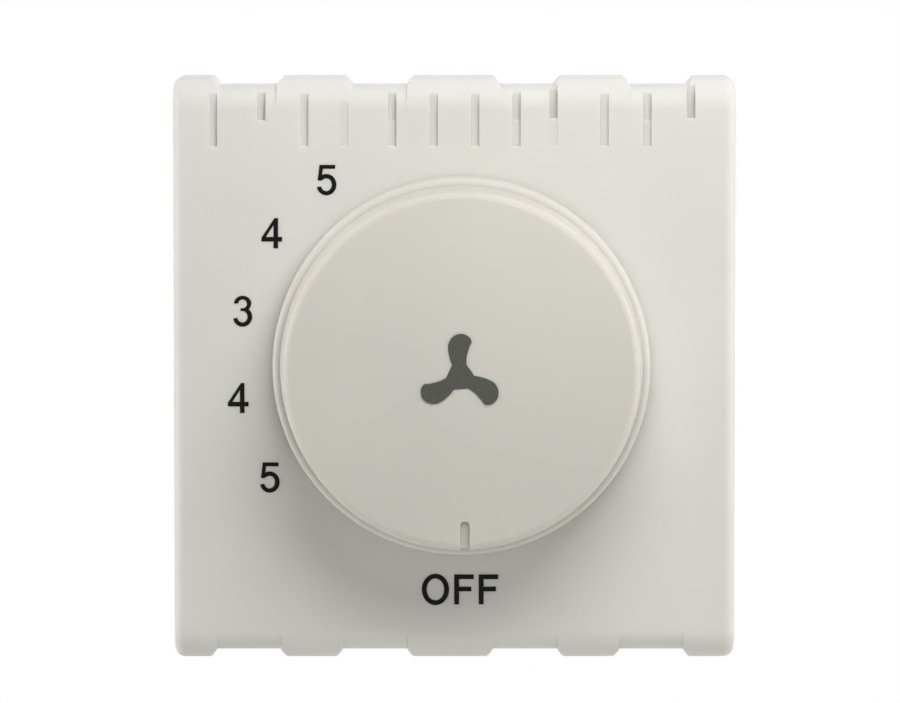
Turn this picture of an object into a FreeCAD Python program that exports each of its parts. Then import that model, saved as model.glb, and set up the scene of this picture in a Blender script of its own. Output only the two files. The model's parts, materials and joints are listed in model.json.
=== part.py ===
"""Two-module rotary fan speed control: front plate, knob, step switch, board and wire terminals.

The origin is the middle of the front plate's rear rim, the face that seats on the wall frame.
X points right as seen from the front, Y points into the wall and Z points up. Lengths are millimetres.
"""
import FreeCAD
import Part

import math
import os
import re

import Sketcher
from FreeCAD import Vector

# Driving dimensions, one cell of the sheet each
SIZES = {
    # Front plate
    "plate_width": 44.0,
    "plate_height": 44.35,
    "plate_depth": 7.0,
    "face_thickness": 2.0,
    "plate_wall": 1.8,
    "edge_round": 1.7,
    "side_round": 0.8,
    "post_radius": 1.5,
    "post_inset": 2.6,
    # Castellated top and bottom edges of the plate
    "tab_height": 0.68,
    "tab_corner": 0.2,
    "flank_run": 0.33,
    "corner_tab": 3.32,
    "middle_tab_place": 10.88,
    "upper_middle_tab": 5.3,
    "lower_middle_tab": 4.16,
    "upper_centre_tab": 6.67,
    "lower_centre_tab": 6.0,
    "upper_row_left": 0.08,
    "lower_row_left": 0.34,
    # Grooves that run down from the plate's top edge
    "inner_groove_pitch": 3.24,
    "outer_groove_pitch": 3.35,
    "groove_width": 0.62,
    "long_groove": 4.7,
    "long_groove_depth": 0.28,
    "short_groove": 2.7,
    "short_groove_depth": 0.5,
    "edge_groove": 2.5,
    "edge_groove_depth": 0.9,
    "faint_groove": 4.7,
    "faint_groove_depth": 0.06,
    # Knob
    "knob_offset": 0.55,
    "knob_raise": 0.48,
    "knob_gap": 0.5,
    "knob_height": 10.0,
    "face_rise": 1.1,
    "skirt_ledge": 0.6,
    "skirt_height": 3.6,
    "skirt_round": 0.5,
    "grip_radius": 14.1,
    "grip_draft": 0.3,
    "knob_round": 0.65,
    "knob_wall": 1.6,
    "knob_face": 2.3,
    "pointer_width": 0.72,
    "pointer_aside": 0.25,
    "pointer_length": 2.55,
    "pointer_depth": 0.42,
    "pointer_slope": 0.4,
    "pointer_notch": 0.12,
    "pointer_lip": 0.12,
    "boss_radius": 4.7,
    "rib_count": 4,
    "rib_width": 1.0,
    "rib_height": 2.6,
    "ring_thickness": 0.6,
    "ring_width": 1.4,
    "ring_slit": 2.4,
    # Spindle
    "spindle_radius": 3.0,
    "flat_depth": 0.75,
    "spindle_end_gap": 0.4,
    "journal_radius": 1.5,
    # Step switch
    "switch_side": 24.0,
    "switch_corner": 2.0,
    "cover_gap": 0.9,
    "cover_thickness": 1.0,
    "bush_radius": 4.4,
    "cavity_radius": 10.6,
    "base_floor": 2.5,
    "rotor_radius": 8.6,
    "rotor_thickness": 5.0,
    "notch_radius": 0.95,
    "first_step": 60,
    "step_angle": 21,
    "leaf_thickness": 0.3,
    "leaf_width": 3.0,
    "roll_radius": 0.7,
    "wiper_thickness": 0.4,
    "wiper_width": 2.6,
    "dimple_radius": 0.5,
    "dimple_height": 0.5,
    "contact_circle": 7.4,
    "contact_radius": 0.95,
    "contact_height": 0.4,
    "stem_radius": 0.6,
    "track_radius": 4.4,
    "track_width": 1.6,
    "rivet_inset": 2.1,
    "rivet_radius": 0.9,
    "rivet_head_radius": 1.6,
    "rivet_head": 0.6,
    # Circuit board and what is soldered to it
    "board_thickness": 1.6,
    "board_margin": 0.35,
    "tail_length": 0.8,
    "lead_radius": 0.35,
    "capacitor_inset": 2.4,
    "capacitor_lead_inset": 2.0,
    "capacitor_height": 18.0,
    "capacitor_round": 0.8,
    "lower_capacitor_width": 9.5,
    "resistor_radius": 1.35,
    "resistor_length": 6.5,
    "resistor_pitch": 9.0,
    "resistor_inset": 3.4,
    "resistor_side_inset": 10.0,
    "surge_radius": 1.9,
    "surge_length": 8.5,
    "surge_pitch": 12.0,
    "resistor_standoff": 0.6,
    "resistor_round": 0.5,
    "wire_bend": 1.0,
    "part_gap": 0.9,
    # Wire terminals and their screws
    "terminal_side": 8.0,
    "terminal_inset": 6.5,
    "terminal_rise": 5.35,
    "wire_radius": 1.9,
    "wire_place": 3.6,
    "screw_radius": 1.45,
    "screw_head_radius": 2.7,
    "screw_head": 2.0,
    "screw_recess": 0.6,
    "slot_width": 0.8,
    "slot_depth": 1.0,
    "terminal_lead_radius": 0.7,
    "lead_drop": 1.2,
    "lead_foot_radius": 1.5,
    "lead_foot": 0.6,
    # Rear housing
    "housing_wall": 1.6,
    "back_thickness": 2.0,
    "insert_depth": 4.0,
    "housing_corner": 1.5,
    "back_round": 1.0,
    "back_clearance": 2.0,
    "column_width": 2.2,
    "column_height": 4.6,
    "guide_length": 3.5,
    "guide_wall": 1.2,
    "chamber_wall": 1.2,
    "chamber_reach": 10.0,
    "wire_entry_radius": 2.3,
    "wire_entry_chamfer": 0.4,
    "latch_width": 8.0,
    "latch_start": 2.3,
    "latch_land": 0.8,
    "latch_ramp": 4.2,
    "latch_rise": 1.2,
    "latch_slit": 0.8,
    "tongue_length": 10.0,
    "snap_rise": 0.5,
    "snap_length": 10.0,
    "snap_place": 2.0,
    "snap_half": 0.9,
    # Clearances
    "slip": 0.1,
    "fit_clearance": 0.05,
    "running_gap": 0.3,
    "cut_margin": 1.0,
}

# Levels along Y, from the plate's face to the housing's back
PLATE_INSIDE = "(face_thickness - plate_depth)"
KNOB_FACE = "(-plate_depth - knob_height)"
KNOB_EDGE = f"({KNOB_FACE} + face_rise)"
KNOB_INSIDE = f"({KNOB_FACE} + knob_face)"
KNOB_REAR = "(-plate_depth - knob_gap)"
LEDGE = f"({KNOB_REAR} - skirt_height)"
SPINDLE_FRONT = f"({KNOB_INSIDE} + spindle_end_gap)"
COVER_FRONT = f"({PLATE_INSIDE} + cover_gap)"
BASE_FRONT = f"({COVER_FRONT} + cover_thickness)"
ROTOR_FRONT = f"({BASE_FRONT} + running_gap)"
ROTOR_REAR = f"({ROTOR_FRONT} + rotor_thickness)"
WIPER_REAR = f"({ROTOR_REAR} + wiper_thickness)"
CONTACT_FRONT = f"({WIPER_REAR} + dimple_height + fit_clearance)"
FLOOR = f"({CONTACT_FRONT} + contact_height)"
BOARD_FRONT = f"({FLOOR} + base_floor)"
BOARD_REAR = f"({BOARD_FRONT} + board_thickness)"
BACK_INSIDE = f"({BOARD_REAR} + capacitor_height + back_clearance)"
HOUSING_REAR = f"({BACK_INSIDE} + back_thickness)"
BLOCK_REAR = f"({BACK_INSIDE} - guide_length)"
BLOCK_FRONT = f"({BLOCK_REAR} - terminal_side)"
WIRE_LEVEL = f"({BLOCK_FRONT} + wire_place)"
HEAD_REAR = f"({HOUSING_REAR} - screw_recess)"
HEAD_FRONT = f"({HEAD_REAR} - screw_head)"
SCREW_TIP = f"({WIRE_LEVEL} + wire_radius + fit_clearance)"

# Places across X and Z
TAB_TIP = "(plate_height / 2 + tab_height)"
SKIRT_RADIUS = "(grip_radius + skirt_ledge)"
HOUSING_X = "(plate_width / 2 - plate_wall - slip)"
HOUSING_Z = "(plate_height / 2 - plate_wall - slip)"
INSIDE_X = f"({HOUSING_X} - housing_wall)"
INSIDE_Z = f"({HOUSING_Z} - housing_wall)"
BOARD_X = f"({INSIDE_X} - board_margin)"
BOARD_Z = f"({INSIDE_Z} - board_margin)"
POST_X = f"({BOARD_X} - post_inset)"
POST_Z = f"({BOARD_Z} - post_inset)"
CAPACITOR_X = f"({BOARD_X} - capacitor_inset)"
CAPACITOR_LEAD_X = f"({CAPACITOR_X} - capacitor_lead_inset)"
TERMINAL_X = f"({INSIDE_X} - terminal_inset)"
TERMINAL_Z = f"(terminal_rise - {INSIDE_Z})"
LEAD_Z = f"({TERMINAL_Z} - lead_drop)"
LOWER_FOOT_Z = f"({TERMINAL_Z} + terminal_side / 2 + part_gap)"
LOWER_TOP_Z = f"({LOWER_FOOT_Z} + lower_capacitor_width)"
UPPER_FOOT_Z = f"({LOWER_TOP_Z} + part_gap)"
RESISTOR_X = f"({BOARD_X} - resistor_side_inset)"
RESISTOR_Z = f"({INSIDE_Z} - resistor_inset)"
UPPER_TOP_Z = f"({RESISTOR_Z} - resistor_radius - part_gap)"
RIVET_PLACE = "(switch_side / 2 - rivet_inset)"
MODULE_X = "(plate_width / 4)"

# Angles of the five speeds, clockwise from the off position at six o'clock
SPEED_ANGLES = [f"(first_step + {step} * step_angle)" for step in range(5)]

CLOSE = 1e-4
NORMAL_WAY = {"XY_Plane": 1, "XZ_Plane": -1, "YZ_Plane": 1}
ON_KNOB_AXIS = ("knob_offset", "0", "knob_raise")

doc = FreeCAD.newDocument("fan_speed_control")
sheet = doc.addObject("Spreadsheet::Sheet", "Sizes")
pieces = []


def fill_sheet():
    """Write each driving dimension to its own cell, beside its name."""
    for row, (alias, size) in enumerate(SIZES.items(), start=1):
        sheet.set(f"A{row}", alias)
        sheet.set(f"B{row}", str(size))
        sheet.setAlias(f"B{row}", alias)
    doc.recompute()


def bound(formula):
    """The formula with the sheet's name before each of its sizes."""
    return re.sub(r"[a-z][a-z_]*", lambda word: with_sheet(word.group()), formula)


def with_sheet(word):
    return f"Sizes.{word}" if word in SIZES else word


def number(formula):
    """What a formula comes to with the sheet's present sizes."""
    return float(sheet.evalExpression(bound(formula)))


def new_body(label, place=("0", "0", "0")):
    body = doc.addObject("PartDesign::Body", label)
    body.Label = label
    for axis, formula in zip("xyz", place):
        body.setExpression(f"Placement.Base.{axis}", bound(formula))
    pieces.append(body)
    return body


def origin_feature(body, role):
    return next(feature for feature in body.Origin.OriginFeatures if feature.Role == role)


def new_sketch(body, name, plane, level="0"):
    """An empty sketch parallel to an origin plane, at a level along the axis that the plane faces."""
    sketch = body.newObject("Sketcher::SketchObject", f"{body.Name}_{name}")
    sketch.AttachmentSupport = [(origin_feature(body, plane), "")]
    sketch.MapMode = "FlatFace"
    sketch.setExpression("AttachmentOffset.Base.z", bound(f"{NORMAL_WAY[plane]} * ({level})"))
    return sketch


def set_size(sketch, constraint, formula):
    index = sketch.addConstraint(constraint)
    sketch.setExpression(f"Constraints[{index}]", bound(formula))


def pin_point(sketch, curve, end, place):
    """Hold one point of a curve at a place given by two formulas."""
    for kind, formula in zip(("DistanceX", "DistanceY"), place):
        set_size(sketch, Sketcher.Constraint(kind, -1, 1, curve, end, number(formula)), formula)


def point_at(place):
    return Vector(number(place[0]), number(place[1]), 0)


def polygon(sketch, corners):
    """A closed outline of straight edges between corners given by pairs of formulas."""
    first = sketch.GeometryCount
    count = len(corners)
    for index, corner in enumerate(corners):
        following = corners[(index + 1) % count]
        sketch.addGeometry(Part.LineSegment(point_at(corner), point_at(following)), False)
    for index in range(count):
        joined = Sketcher.Constraint("Coincident", first + index, 2, first + (index + 1) % count, 1)
        sketch.addConstraint(joined)
    for index, corner in enumerate(corners):
        pin_point(sketch, first + index, 1, corner)


def rectangle(sketch, left, right, low, high):
    polygon(sketch, [(left, low), (right, low), (right, high), (left, high)])


def centred_rectangle(sketch, half_width, half_height):
    rectangle(sketch, f"-{half_width}", half_width, f"-{half_height}", half_height)


def circle(sketch, centre, radius):
    curve = sketch.GeometryCount
    sketch.addGeometry(Part.Circle(point_at(centre), Vector(0, 0, 1), number(radius)), False)
    pin_point(sketch, curve, 3, centre)
    set_size(sketch, Sketcher.Constraint("Radius", curve, number(radius)), radius)


def draw_cap(sketch, radius, foot, crown, rise):
    """Half the section of a shallow dome: its axis, its flat foot and the arc between them."""
    corners = [("0", crown), ("0", foot), (radius, foot)]
    for start, end in zip(corners, corners[1:]):
        sketch.addGeometry(Part.LineSegment(point_at(start), point_at(end)), False)
    pin_point(sketch, 0, 1, corners[0])
    pin_point(sketch, 1, 2, corners[2])
    pin_point(sketch, 1, 1, corners[1])
    sketch.addConstraint(Sketcher.Constraint("Coincident", 0, 2, 1, 1))
    ball_radius = number(f"({radius} * {radius} + {rise} * {rise}) / (2 * {rise})")
    ball = Part.Circle(Vector(0, number(crown) + ball_radius, 0), Vector(0, 0, 1), ball_radius)
    turn = math.asin(number(radius) / ball_radius)
    arc = sketch.GeometryCount
    sketch.addGeometry(Part.ArcOfCircle(ball, -math.pi / 2, turn - math.pi / 2), False)
    sketch.addConstraint(Sketcher.Constraint("Coincident", arc, 1, 0, 1))
    sketch.addConstraint(Sketcher.Constraint("Coincident", arc, 2, 1, 2))
    sketch.addConstraint(Sketcher.Constraint("PointOnObject", arc, 3, -2))


def add_feature(body, kind, sketch, name):
    feature = body.newObject(f"PartDesign::{kind}", f"{sketch.Name}_{name}")
    feature.Profile = sketch
    return feature


def pad(body, sketch, length, way):
    """Add the sketch's area along its axis: way 1 or -1 is the axis's direction, and 0 is both."""
    feature = add_feature(body, "Pad", sketch, "pad")
    feature.setExpression("Length", bound(length))
    set_way(feature, way, way != NORMAL_WAY[sketch.AttachmentSupport[0][0].Role])
    return feature


def pocket(body, sketch, length, way):
    """Cut the sketch's area away along its axis, through everything where no length is given."""
    doc.recompute()
    before = body.Shape.Volume
    feature = add_feature(body, "Pocket", sketch, "pocket")
    if length is None:
        feature.Type = "ThroughAll"
    else:
        feature.setExpression("Length", bound(length))
    set_way(feature, way, way == NORMAL_WAY[sketch.AttachmentSupport[0][0].Role])
    doc.recompute()
    if body.Shape.Volume >= before:
        raise ValueError(f"{feature.Name} cuts nothing")
    return feature


def set_way(feature, way, turned):
    if way == 0:
        feature.SideType = "Symmetric"
    else:
        feature.Reversed = turned


def revolve(body, sketch, axis):
    feature = add_feature(body, "Revolution", sketch, "turned")
    feature.ReferenceAxis = (origin_feature(body, axis), [""])
    return feature


def dress_edges(body, kind, test, size):
    """Round or chamfer the edges of the body that pass a test."""
    doc.recompute()
    base = body.Tip
    edges = base.Shape.Edges
    names = [f"Edge{index}" for index, edge in enumerate(edges, start=1) if test(edge)]
    if not names:
        raise ValueError(f"{body.Name} has no edge to dress")
    feature = body.newObject(f"PartDesign::{kind}", f"{base.Name}_{kind.lower()}")
    feature.Base = (base, names)
    feature.setExpression("Radius" if kind == "Fillet" else "Size", bound(size))
    return feature


def lies_at(edge, axis, formula):
    """Does the whole edge lie at one level of an axis?"""
    level = number(formula)
    low = getattr(edge.BoundBox, f"{axis}Min")
    high = getattr(edge.BoundBox, f"{axis}Max")
    return abs(low - level) < CLOSE and abs(high - level) < CLOSE


def is_ring(edge, formula):
    """Is the edge a full circle of that radius?"""
    if edge.Degenerated or not isinstance(edge.Curve, Part.Circle) or not edge.isClosed():
        return False
    return abs(edge.Curve.Radius - number(formula)) < CLOSE


def on_circle(radius, angle):
    """A place on a circle, at an angle clockwise from six o'clock as seen from the front."""
    return (f"-{radius} * sin({angle})", f"-{radius} * cos({angle})")


# Front plate

def tab_spans(row):
    """Left and right ends of the five tab tips along the upper or lower edge, left to right."""
    half = "plate_width / 2"
    aside = f"{row}_row_left"
    spans = [(f"-{half}", f"(corner_tab - {half} - {aside})")]
    inner_tabs = [("-middle_tab_place", "middle"), ("0", "centre"), ("middle_tab_place", "middle")]
    for place, kind in inner_tabs:
        middle = f"{place} - {aside}"
        width = f"{row}_{kind}_tab"
        spans.append((f"({middle} - {width} / 2)", f"({middle} + {width} / 2)"))
    return spans + [(f"({half} - corner_tab - {aside})", half)]


def draw_valleys(sketch, spans, sign):
    """The spaces between neighbouring tabs: broken corners, sloped flanks, upright below the rim."""
    over = f"{sign} * ({TAB_TIP} + cut_margin)"
    tip = f"{sign} * {TAB_TIP}"
    shoulder = f"{sign} * ({TAB_TIP} - tab_corner)"
    foot = f"{sign} * plate_height / 2"
    root = f"{sign} * (plate_height / 2 - 2 * edge_round)"
    for (_, left), (right, _) in zip(spans, spans[1:]):
        left_tip = f"{left} - tab_corner"
        left_foot = f"{left} + flank_run"
        right_tip = f"{right} + tab_corner"
        right_foot = f"{right} - flank_run"
        corners = [(left_tip, over), (right_tip, over), (right_tip, tip), (right, shoulder)]
        corners += [(right_foot, foot), (right_foot, root), (left_foot, root), (left_foot, foot)]
        polygon(sketch, corners + [(left, shoulder), (left_tip, tip)])


def round_front_edges(body, edge_z, radius):
    """Round the long top and bottom edges of the front face."""

    def is_front_edge(edge):
        at_rim = lies_at(edge, "Z", edge_z) or lies_at(edge, "Z", f"-{edge_z}")
        return lies_at(edge, "Y", "-plate_depth") and at_rim

    return dress_edges(body, "Fillet", is_front_edge, radius)


def make_plate_tabs():
    """The taller block that leaves the tabs standing once the valleys are cut from it."""
    body = doc.addObject("PartDesign::Body", "plate_tabs")
    block = new_sketch(body, "block", "XZ_Plane")
    centred_rectangle(block, "(plate_width / 2)", TAB_TIP)
    pad(body, block, "plate_depth", -1)
    round_front_edges(body, TAB_TIP, "edge_round + tab_height")
    valleys = new_sketch(body, "valleys", "XZ_Plane")
    draw_valleys(valleys, tab_spans("upper"), "1")
    draw_valleys(valleys, tab_spans("lower"), "-1")
    pocket(body, valleys, None, -1)
    return body


def draw_grooves(sketch, places, length):
    for place in places:
        left = f"({place}) - groove_width / 2"
        right = f"({place}) + groove_width / 2"
        rectangle(sketch, left, right, f"plate_height / 2 - {length}", f"{TAB_TIP} + cut_margin")


def cut_grooves(body):
    """Four kinds of groove: long, short and deeper, deep beside a tab's flank, and barely scribed."""
    inner_pair = ["-1.5 * inner_groove_pitch", "1.5 * inner_groove_pitch"]
    centre_pair = ["-0.5 * inner_groove_pitch", "0.5 * inner_groove_pitch"]
    outer_pair = ["-3.5 * outer_groove_pitch", "3.5 * outer_groove_pitch"]
    far_left, far_right = ("-4.5 * outer_groove_pitch", "4.5 * outer_groove_pitch")
    corner_aside = "upper_row_left - groove_width / 6"
    left_corner = f"corner_tab - plate_width / 2 - {corner_aside}"
    right_corner = f"plate_width / 2 - corner_tab - {corner_aside}"
    right_flank = "middle_tab_place - upper_row_left - upper_middle_tab / 2 - flank_run - groove_width / 8"
    left_flank = "upper_middle_tab / 2 - middle_tab_place - upper_row_left - flank_run"
    kinds = {
        "long": centre_pair + inner_pair + outer_pair + [far_right, left_corner],
        "short": inner_pair + [far_left, far_right],
        "edge": [right_flank, right_corner],
        "faint": [left_flank, right_flank],
    }
    for kind, places in kinds.items():
        grooves = new_sketch(body, f"{kind}_grooves", "XZ_Plane", "-plate_depth")
        draw_grooves(grooves, places, f"{kind}_groove")
        pocket(body, grooves, f"{kind}_groove_depth", 1)


def make_front_plate():
    """The moulded tray: rounded face, castellated edges, spindle hole and the posts that hold the board."""
    tabs = make_plate_tabs()
    body = new_body("front_plate")
    face = new_sketch(body, "face", "XZ_Plane")
    centred_rectangle(face, "(plate_width / 2)", "(plate_height / 2)")
    pad(body, face, "plate_depth", -1)
    round_front_edges(body, "(plate_height / 2)", "edge_round")
    joined = body.newObject("PartDesign::Boolean", "plate_with_tabs")
    joined.Type = "Fuse"
    joined.addObject(tabs)

    def is_side_edge(edge):
        at_side = lies_at(edge, "X", "plate_width / 2") or lies_at(edge, "X", "-plate_width / 2")
        return at_side and not lies_at(edge, "Y", "0")

    dress_edges(body, "Fillet", is_side_edge, "side_round")
    tray = new_sketch(body, "tray", "XZ_Plane")
    centred_rectangle(tray, "(plate_width / 2 - plate_wall)", "(plate_height / 2 - plate_wall)")
    pocket(body, tray, "plate_depth - face_thickness", -1)
    hole = new_sketch(body, "spindle_hole", "XZ_Plane")
    circle(hole, ("knob_offset", "knob_raise"), "bush_radius + running_gap")
    pocket(body, hole, None, -1)
    cut_grooves(body)
    recess = new_sketch(body, "snap_recess", "XY_Plane")
    inner = "(plate_width / 2 - plate_wall)"
    for sign in ("1", "-1"):
        near = f"{sign} * ({inner} - slip)"
        far = f"{sign} * ({inner} + snap_rise)"
        rectangle(recess, near, far, "-snap_place - snap_half - slip", "slip + snap_half - snap_place")
    pocket(body, recess, "snap_length + 2 * slip", 0)
    posts = new_sketch(body, "posts", "XZ_Plane", PLATE_INSIDE)
    for x_sign in ("", "-"):
        for z_sign in ("", "-"):
            circle(posts, (f"{x_sign}{POST_X}", f"{z_sign}{POST_Z}"), "post_radius")
    pad(body, posts, f"{BOARD_FRONT} - {PLATE_INSIDE} - fit_clearance", 1)


# Knob and what turns with it

def make_knob():
    """A domed, drafted grip on a wider skirt, hollow behind, with a D bore and a pointer slot."""
    body = new_body("knob", ON_KNOB_AXIS)
    section = new_sketch(body, "section", "XY_Plane")
    polygon(section, knob_section())
    revolve(body, section, "Y_Axis")
    bore = new_sketch(body, "bore", "XZ_Plane", KNOB_REAR)
    circle(bore, ("0", "0"), "spindle_radius + fit_clearance")
    pocket(body, bore, f"{KNOB_REAR} - {KNOB_INSIDE}", -1)
    flat = new_sketch(body, "flat", "XZ_Plane", KNOB_INSIDE)
    flat_z = "(spindle_radius - flat_depth + fit_clearance)"
    rectangle(flat, "-spindle_radius", "spindle_radius", flat_z, "spindle_radius + slip")
    pad(body, flat, f"{KNOB_REAR} - {KNOB_INSIDE}", 1)
    add_knob_ribs(body)
    cap = new_sketch(body, "cap", "XY_Plane")
    draw_cap(cap, "(grip_radius - grip_draft)", KNOB_EDGE, KNOB_FACE, "face_rise")
    revolve(body, cap, "Y_Axis")
    dress_edges(body, "Fillet", lambda edge: is_ring(edge, "grip_radius - grip_draft"), "knob_round")

    def is_skirt_rim(edge):
        return is_ring(edge, SKIRT_RADIUS) and lies_at(edge, "Y", LEDGE)

    dress_edges(body, "Fillet", is_skirt_rim, "skirt_round")
    cut_pointer(body)


def add_knob_ribs(body):
    """Low ribs behind the face, from the boss to the wall."""
    rib = new_sketch(body, "rib", "XZ_Plane", KNOB_INSIDE)
    wall_x = "(grip_radius - grip_draft - knob_wall)"
    rectangle(rib, "boss_radius - slip", f"{wall_x} + slip", "-rib_width / 2", "rib_width / 2")
    rib_pad = pad(body, rib, "rib_height", 1)
    ribs = body.newObject("PartDesign::PolarPattern", "knob_ribs")
    ribs.Originals = [rib_pad]
    ribs.Axis = (origin_feature(body, "Y_Axis"), [""])
    ribs.setExpression("Occurrences", bound("rib_count"))
    body.Tip = ribs


def cut_pointer(body):
    """A slot from a round end on the knob's face to its rim, then down the side to the skirt."""
    left = "pointer_aside - pointer_width / 2"
    right = "pointer_aside + pointer_width / 2"
    over = f"({KNOB_FACE} - cut_margin)"
    outer_floor = f"({KNOB_EDGE} + pointer_depth)"
    inner_floor = f"({outer_floor} - pointer_slope)"
    end_z = "(pointer_length - pointer_width / 2 - grip_radius)"
    lip_z = "(pointer_notch + grip_draft - grip_radius)"
    run = new_sketch(body, "pointer", "YZ_Plane", "pointer_aside")
    polygon(run, [(over, end_z), (inner_floor, end_z), (outer_floor, lip_z), (over, lip_z)])
    pocket(body, run, "pointer_width", 0)
    round_end = new_sketch(body, "pointer_end", "XZ_Plane", KNOB_FACE)
    circle(round_end, ("pointer_aside", end_z), "pointer_width / 2")
    pocket(body, round_end, f"{inner_floor} - {KNOB_FACE}", 1)
    notch = new_sketch(body, "pointer_notch", "XZ_Plane", KNOB_FACE)
    rectangle(notch, left, right, f"-{SKIRT_RADIUS}", lip_z)
    pocket(body, notch, f"{LEDGE} - {KNOB_FACE}", 1)

    def is_lip(edge):
        return lies_at(edge, "Y", outer_floor) and lies_at(edge, "Z", lip_z)

    dress_edges(body, "Fillet", is_lip, "pointer_lip")


def knob_section():
    """Half of the knob's section: radius across, depth along the axis."""
    top = "(grip_radius - grip_draft)"
    outside = [("0", KNOB_EDGE), (top, KNOB_EDGE), ("grip_radius", LEDGE)]
    outside += [(SKIRT_RADIUS, LEDGE), (SKIRT_RADIUS, KNOB_REAR)]
    inside = [(f"{SKIRT_RADIUS} - knob_wall", KNOB_REAR), (f"{top} - knob_wall", KNOB_INSIDE)]
    boss = [("boss_radius", KNOB_INSIDE), ("boss_radius", KNOB_REAR), ("0", KNOB_REAR)]
    return outside + inside + boss


def make_knob_grip_ring():
    """An open spring ring that squeezes the knob's boss on the spindle."""
    body = new_body("knob_grip_ring", ON_KNOB_AXIS)
    front = f"({KNOB_REAR} - ring_width - running_gap)"
    ring = new_sketch(body, "ring", "XZ_Plane", front)
    circle(ring, ("0", "0"), "boss_radius + fit_clearance + ring_thickness")
    circle(ring, ("0", "0"), "boss_radius + fit_clearance")
    pad(body, ring, "ring_width", 1)
    slit = new_sketch(body, "slit", "XZ_Plane", front)
    rectangle(slit, "-ring_slit / 2", "ring_slit / 2", "0", "boss_radius + 2 * ring_thickness")
    pocket(body, slit, None, 1)


def make_spindle():
    """A round shaft with a D flat for the knob and a thin journal in the switch base."""
    body = new_body("spindle", ON_KNOB_AXIS)
    shaft = new_sketch(body, "shaft", "XZ_Plane", SPINDLE_FRONT)
    circle(shaft, ("0", "0"), "spindle_radius")
    pad(body, shaft, f"{ROTOR_REAR} - {SPINDLE_FRONT}", 1)
    journal = new_sketch(body, "journal", "XZ_Plane", ROTOR_REAR)
    circle(journal, ("0", "0"), "journal_radius")
    pad(body, journal, f"{BOARD_FRONT} - {ROTOR_REAR} - running_gap", 1)
    flat = new_sketch(body, "flat", "XZ_Plane", SPINDLE_FRONT)
    flat_z = "(spindle_radius - flat_depth)"
    rectangle(flat, "-spindle_radius", "spindle_radius", flat_z, "spindle_radius + slip")
    pocket(body, flat, f"{KNOB_REAR} - {SPINDLE_FRONT}", 1)


def make_rotor():
    """The detent wheel: one notch in its rim for off and one for each speed."""
    body = new_body("rotor", ON_KNOB_AXIS)
    wheel = new_sketch(body, "wheel", "XZ_Plane", ROTOR_FRONT)
    circle(wheel, ("0", "0"), "rotor_radius")
    circle(wheel, ("0", "0"), "spindle_radius + fit_clearance")
    pad(body, wheel, "rotor_thickness", 1)
    notches = new_sketch(body, "notches", "XZ_Plane", ROTOR_FRONT)
    for angle in ["0"] + SPEED_ANGLES:
        circle(notches, (f"-rotor_radius * sin({angle})", f"rotor_radius * cos({angle})"), "notch_radius")
    pocket(body, notches, None, 1)


def make_wiper():
    """A sprung plate under the rotor that joins the common track to one speed contact."""
    body = new_body("wiper", ON_KNOB_AXIS)
    plate = new_sketch(body, "plate", "XZ_Plane", ROTOR_REAR)
    circle(plate, ("0", "0"), "track_radius + track_width / 2")
    circle(plate, ("0", "0"), "journal_radius + slip")
    pad(body, plate, "wiper_thickness", 1)
    arm = new_sketch(body, "arm", "XZ_Plane", ROTOR_REAR)
    arm_end = "(-contact_circle - contact_radius)"
    rectangle(arm, "-wiper_width / 2", "wiper_width / 2", arm_end, "-track_radius")
    pad(body, arm, "wiper_thickness", 1)
    dimples = new_sketch(body, "dimples", "XZ_Plane", WIPER_REAR)
    for radius in ("contact_circle", "track_radius"):
        circle(dimples, ("0", f"-{radius}"), "dimple_radius")
    pad(body, dimples, "dimple_height", 1)


# Fixed pieces of the step switch

def make_detent_spring():
    """A leaf across the top of the cavity whose rolled bump drops into the rotor's notches."""
    body = new_body("detent_spring", ON_KNOB_AXIS)
    low = "(rotor_radius + running_gap)"
    high = f"({low} + leaf_thickness)"
    half = f"sqrt((cavity_radius - slip) ^ 2 - {high} ^ 2)"
    front = f"({ROTOR_FRONT} + rotor_thickness / 2 - leaf_width / 2)"
    leaf = new_sketch(body, "leaf", "XZ_Plane", front)
    rectangle(leaf, f"-{half}", half, low, high)
    pad(body, leaf, "leaf_width", 1)
    roll = new_sketch(body, "roll", "XZ_Plane", front)
    circle(roll, ("0", low), "roll_radius")
    pad(body, roll, "leaf_width", 1)
    eye = new_sketch(body, "eye", "XZ_Plane", front)
    circle(eye, ("0", low), "roll_radius - leaf_thickness")
    pocket(body, eye, None, 1)


def draw_switch_square(body, name, level):
    sketch = new_sketch(body, name, "XZ_Plane", level)
    centred_rectangle(sketch, "(switch_side / 2)", "(switch_side / 2)")
    return sketch


def round_switch_corners(body):
    def is_corner(edge):
        box = edge.BoundBox
        half = number("switch_side / 2")
        upright = box.YLength > CLOSE and box.XLength < CLOSE and box.ZLength < CLOSE
        return upright and abs(abs(box.XMin) - half) < CLOSE and abs(abs(box.ZMin) - half) < CLOSE

    dress_edges(body, "Fillet", is_corner, "switch_corner")


def draw_rivet_holes(sketch):
    for sign in ("", "-"):
        circle(sketch, (f"{sign}{RIVET_PLACE}", f"{sign}{RIVET_PLACE}"), "rivet_radius + fit_clearance")


def stem_places():
    """Where the contact stems pass through the base and the board, from the switch's axis."""
    return [on_circle("contact_circle", angle) for angle in SPEED_ANGLES] + [("0", "track_radius")]


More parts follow.
